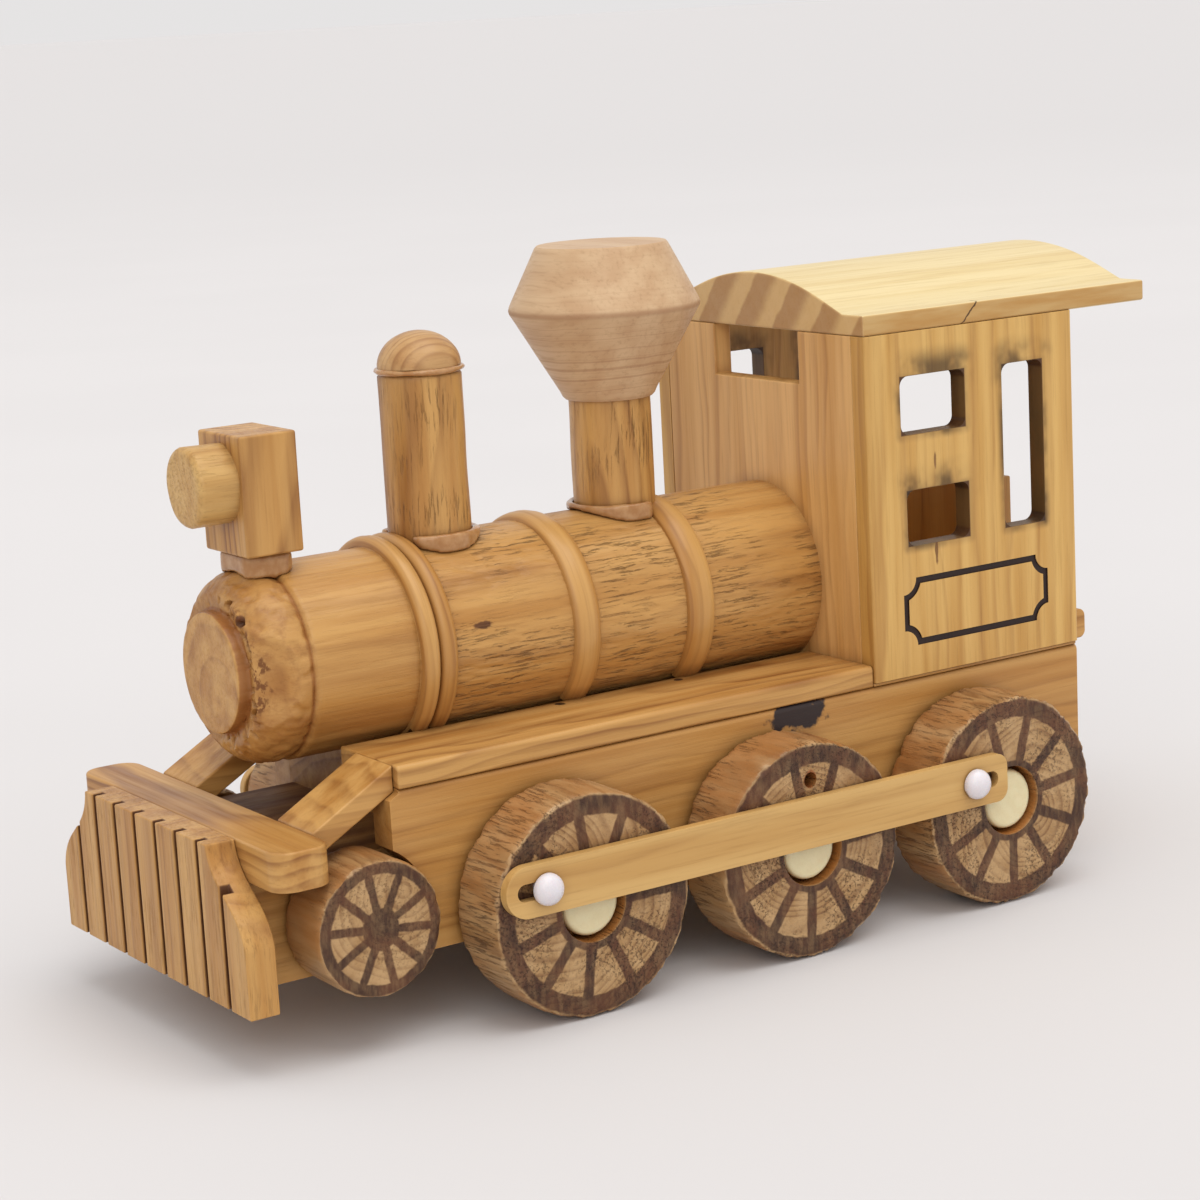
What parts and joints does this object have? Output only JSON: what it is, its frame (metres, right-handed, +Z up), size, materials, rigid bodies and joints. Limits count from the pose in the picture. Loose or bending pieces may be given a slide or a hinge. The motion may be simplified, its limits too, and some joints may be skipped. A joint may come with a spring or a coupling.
{
  "type": "toy locomotive",
  "caption": "Wooden toy steam locomotive with rolling wheels, side rods between the driving wheels, a windowed cab, a flared stack and a slatted front plate.",
  "frame": {"origin": "on the ground plane under the middle of the overall length and width", "axes": "+X towards the front of the locomotive, +Y to its left side, +Z up"},
  "size_m": [0.2158, 0.1082, 0.1345],
  "materials": {
    "varnished_pine": "satin varnish",
    "pale_pine": "satin varnish",
    "raw_wood": "unfinished, sanded",
    "stick_wood": "satin",
    "wheel_wood": "satin varnish with burnt spokes",
    "ivory_plastic": "gloss",
    "white_plastic": "gloss",
    "glue": "dried glue"
  },
  "bodies": {
    "chassis": {"boiler": "varnished_pine", "boiler_band_1": "varnished_pine", "boiler_band_2": "varnished_pine", "boiler_band_3": "varnished_pine", "boiler_band_4": "varnished_pine", "dome_post": "varnished_pine", "stack_post": "varnished_pine", "lamp_block": "varnished_pine", "lamp_lens": "varnished_pine", "dome_cap": "varnished_pine", "cab_front": "varnished_pine", "cab_side_left": "varnished_pine", "cab_side_right": "varnished_pine", "cab_floor": "varnished_pine", "cab_back_board": "varnished_pine", "chassis_core": "varnished_pine", "side_frame_left": "varnished_pine", "side_frame_right": "varnished_pine", "running_board_left": "varnished_pine", "running_board_right": "varnished_pine", "buffer_beam": "varnished_pine", "brace_left": "varnished_pine", "brace_right": "varnished_pine", "cowcatcher": "varnished_pine", "cab_roof": "pale_pine", "stack_cap": "raw_wood", "lamp_glue": "glue", "dome_cap_glue": "glue", "dome_base_glue": "glue", "stack_base_glue": "glue", "axle_pegs": "ivory_plastic"},
    "pony_wheelset": {"pony_axle": "raw_wood", "pony_wheel_left": "wheel_wood", "pony_wheel_right": "wheel_wood"},
    "front_left": {"driver_front_left": "wheel_wood", "crank_pin_front_left": "white_plastic"},
    "middle_left": {"driver_middle_left": "wheel_wood"},
    "rear_left": {"driver_rear_left": "wheel_wood", "crank_pin_rear_left": "white_plastic"},
    "rod_left": {"side_rod_left": "stick_wood"},
    "front_right": {"driver_front_right": "wheel_wood", "crank_pin_front_right": "white_plastic"},
    "middle_right": {"driver_middle_right": "wheel_wood"},
    "rear_right": {"driver_rear_right": "wheel_wood", "crank_pin_rear_right": "white_plastic"},
    "rod_right": {"side_rod_right": "stick_wood"}
  },
  "joints": [
    {"name": "pony_spin", "type": "hinge", "parent": "chassis", "child": "pony_wheelset", "pos_m": [0.0827, 0, 0.0232], "axis": [0, 1, 0], "continuous": true},
    {"name": "front_left_spin", "type": "hinge", "parent": "chassis", "child": "front_left", "pos_m": [0.0434, 0.0419, 0.021], "axis": [0, 1, 0], "continuous": true},
    {"name": "middle_left_spin", "type": "hinge", "parent": "chassis", "child": "middle_left", "pos_m": [-0.0064, 0.0419, 0.021], "axis": [0, 1, 0], "continuous": true},
    {"name": "rear_left_spin", "type": "hinge", "parent": "chassis", "child": "rear_left", "pos_m": [-0.0562, 0.0419, 0.021], "axis": [0, 1, 0], "continuous": true},
    {"name": "rod_left_pivot", "type": "hinge", "parent": "front_left", "child": "rod_left", "pos_m": [0.05488, 0.0501, 0.0271], "axis": [0, 1, 0], "continuous": true},
    {"name": "front_right_spin", "type": "hinge", "parent": "chassis", "child": "front_right", "pos_m": [0.0434, -0.0419, 0.021], "axis": [0, 1, 0], "continuous": true},
    {"name": "middle_right_spin", "type": "hinge", "parent": "chassis", "child": "middle_right", "pos_m": [-0.0064, -0.0419, 0.021], "axis": [0, 1, 0], "continuous": true},
    {"name": "rear_right_spin", "type": "hinge", "parent": "chassis", "child": "rear_right", "pos_m": [-0.0562, -0.0419, 0.021], "axis": [0, 1, 0], "continuous": true},
    {"name": "rod_right_pivot", "type": "hinge", "parent": "front_right", "child": "rod_right", "pos_m": [0.05488, -0.0501, 0.0271], "axis": [0, 1, 0], "continuous": true}
  ],
  "couplings": [
    {"joint": "rear_left_spin", "follows": "front_left_spin", "ratio": 1},
    {"joint": "rod_left_pivot", "follows": "front_left_spin", "ratio": -1},
    {"joint": "rear_right_spin", "follows": "front_right_spin", "ratio": 1},
    {"joint": "rod_right_pivot", "follows": "front_right_spin", "ratio": -1}
  ]
}
